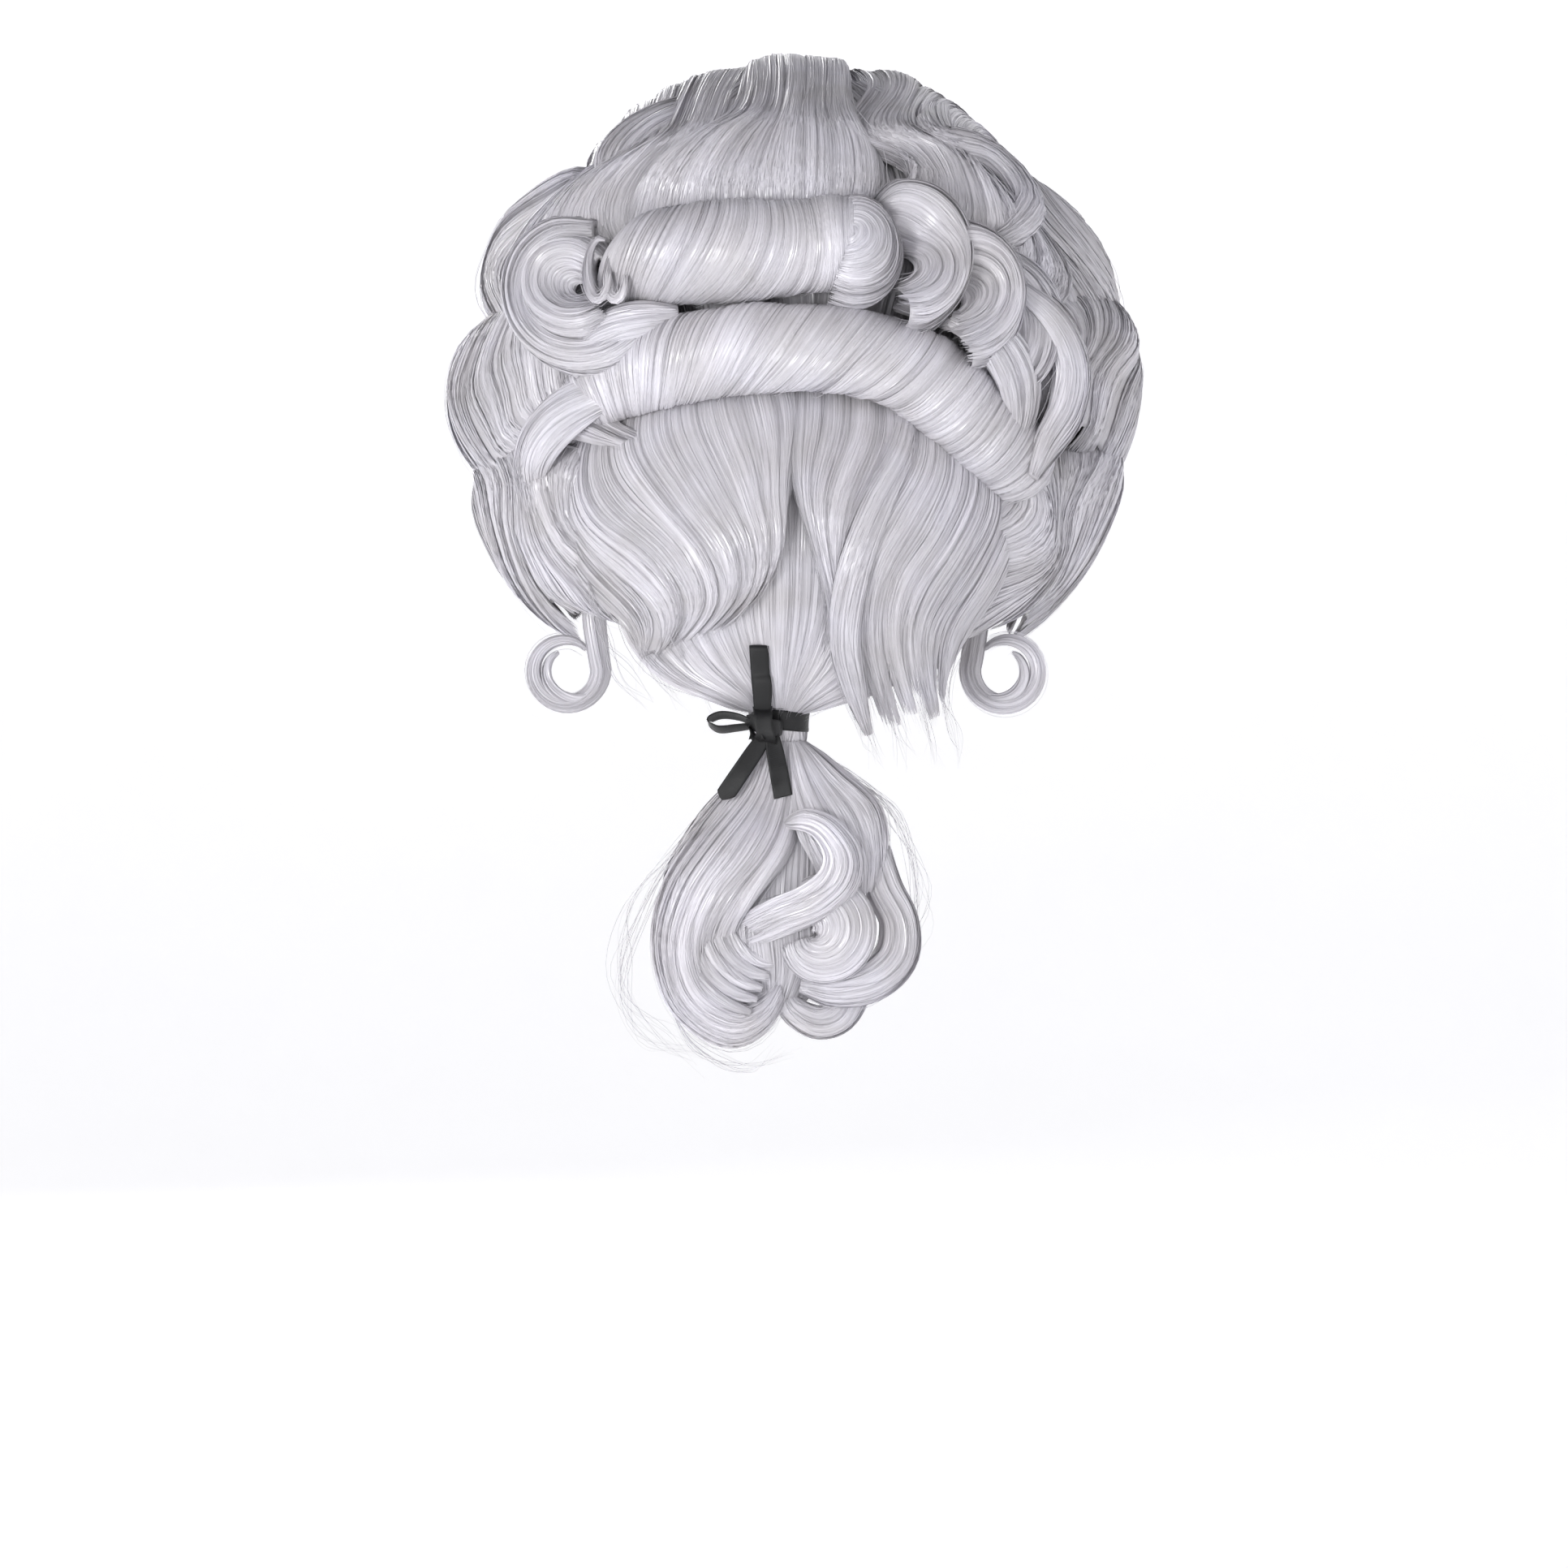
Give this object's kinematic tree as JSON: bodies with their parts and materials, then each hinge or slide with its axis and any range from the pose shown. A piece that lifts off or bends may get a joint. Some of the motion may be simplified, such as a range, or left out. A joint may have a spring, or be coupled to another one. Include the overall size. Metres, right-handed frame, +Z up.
{
  "type": "costume wig",
  "caption": "White eighteenth-century style costume wig with waved sides, two back rolls and a ribbon-tied queue.",
  "frame": {"origin": "centre of the head-size oval, where the cap sits on a head", "axes": "+Z up the wearer, -Y the way the wearer faces, +X to the wearer's left; the long side of the wig and its queue is along Z"},
  "size_m": [0.2728, 0.2433, 0.395],
  "materials": {
    "hair_fibre": "white synthetic fibre with a soft sheen",
    "ribbon_satin": "black satin",
    "elastic": "matt black covered elastic",
    "cap_net": "open stretch net",
    "cap_tape": "woven tape",
    "hook_metal": "bright plated"
  },
  "bodies": {
    "root": {"back_under_hair": "hair_fibre", "centre_tape": "cap_tape", "crown_net": "cap_net", "crown_pouf": "hair_fibre", "crown_wave_centre": "hair_fibre", "crown_wave_left": "hair_fibre", "crown_wave_right": "hair_fibre", "ear_curve_band_left": "cap_tape", "ear_curve_band_right": "cap_tape", "ear_tab_left": "cap_tape", "ear_tab_right": "cap_tape", "falling_lock_right": "hair_fibre", "front_band": "cap_tape", "front_pouf": "hair_fibre", "gathered_stem": "hair_fibre", "hair_elastic": "elastic", "lower_roll": "hair_fibre", "nape_band": "cap_tape", "nape_sweep_left": "hair_fibre", "nape_sweep_right": "hair_fibre", "ribbon_band": "ribbon_satin", "ribbon_knot": "ribbon_satin", "side_wave_lower_left": "hair_fibre", "side_wave_lower_right": "hair_fibre", "side_wave_middle_left": "hair_fibre", "side_wave_middle_right": "hair_fibre", "side_wave_upper_left": "hair_fibre", "side_wave_upper_right": "hair_fibre", "stepped_curl_right_lower": "hair_fibre", "stepped_curl_right_upper": "hair_fibre", "strap_keeper_left": "cap_net", "strap_keeper_right": "cap_net", "swirl_curl_left": "hair_fibre", "temple_wave_left": "hair_fibre", "temple_wave_right": "hair_fibre", "upper_roll": "hair_fibre", "weft_row_1": "cap_tape", "weft_row_2": "cap_tape", "weft_row_3": "cap_tape", "weft_row_4": "cap_tape", "weft_row_5": "cap_tape", "weft_row_6": "cap_tape"},
    "queue_neck": {"queue_neck": "hair_fibre"},
    "queue": {"queue_body": "hair_fibre", "queue_lock_left": "hair_fibre", "queue_lock_right": "hair_fibre", "queue_curl_right": "hair_fibre", "queue_curl_tip": "hair_fibre"},
    "ribbon_loop_up": {"ribbon_loop_up": "ribbon_satin"},
    "ribbon_loop_side": {"ribbon_loop_side": "ribbon_satin"},
    "ribbon_tail_left": {"ribbon_tail_left": "ribbon_satin"},
    "ribbon_tail_right": {"ribbon_tail_right": "ribbon_satin"},
    "ringlet_left": {"ringlet_left": "hair_fibre"},
    "ringlet_right": {"ringlet_right": "hair_fibre"},
    "adjuster_left": {"adjuster_strap_left": "cap_tape", "adjuster_hook_left": "hook_metal"},
    "adjuster_right": {"adjuster_strap_right": "cap_tape", "adjuster_hook_right": "hook_metal"}
  },
  "joints": [
    {"name": "queue_swing", "type": "hinge", "parent": "root", "child": "queue_neck", "pos_m": [0.0065, 0.088, -0.134], "axis": [0, 1, 0], "range_deg": [-25, 25]},
    {"name": "queue_lift", "type": "hinge", "parent": "queue_neck", "child": "queue", "pos_m": [0.0065, 0.088, -0.134], "axis": [1, 0, 0], "range_deg": [0, 50]},
    {"name": "ribbon_tail_left_lift", "type": "hinge", "parent": "root", "child": "ribbon_tail_left", "pos_m": [0.0152, 0.104, -0.1286], "axis": [1, 0, 0], "range_deg": [0, 72]},
    {"name": "ribbon_tail_right_lift", "type": "hinge", "parent": "root", "child": "ribbon_tail_right", "pos_m": [0.0086, 0.104, -0.1286], "axis": [1, 0, 0], "range_deg": [0, 72]},
    {"name": "ribbon_loop_up_flop", "type": "hinge", "parent": "root", "child": "ribbon_loop_up", "pos_m": [0.0128, 0.1042, -0.1139], "axis": [-1, 0, 0], "range_deg": [0, 60], "stiffness_Nm_per_rad": 0.0002, "springref_deg": -5.73},
    {"name": "ribbon_loop_side_flop", "type": "hinge", "parent": "root", "child": "ribbon_loop_side", "pos_m": [0.0203, 0.1014, -0.1204], "axis": [0, 1, 0], "range_deg": [-25, 25], "stiffness_Nm_per_rad": 0.001},
    {"name": "ringlet_left_swing", "type": "hinge", "parent": "root", "child": "ringlet_left", "pos_m": [0.0785, 0.046, -0.0796], "axis": [1, 0, 0], "range_deg": [-30, 30]},
    {"name": "ringlet_right_swing", "type": "hinge", "parent": "root", "child": "ringlet_right", "pos_m": [-0.0705, 0.046, -0.0796], "axis": [1, 0, 0], "range_deg": [-30, 30]},
    {"name": "adjuster_left_take_up", "type": "hinge", "parent": "root", "child": "adjuster_left", "pos_m": [0, 0.0312, -0.07], "axis": [0, 0, 1], "range_deg": [-6, 6]},
    {"name": "adjuster_right_take_up", "type": "hinge", "parent": "root", "child": "adjuster_right", "pos_m": [0, 0.0312, -0.07], "axis": [0, 0, -1], "range_deg": [-6, 6]}
  ],
  "couplings": [
    {"joint": "ribbon_tail_left_lift", "follows": "queue_lift", "ratio": 1.4},
    {"joint": "ribbon_tail_right_lift", "follows": "queue_lift", "ratio": 1.4}
  ]
}
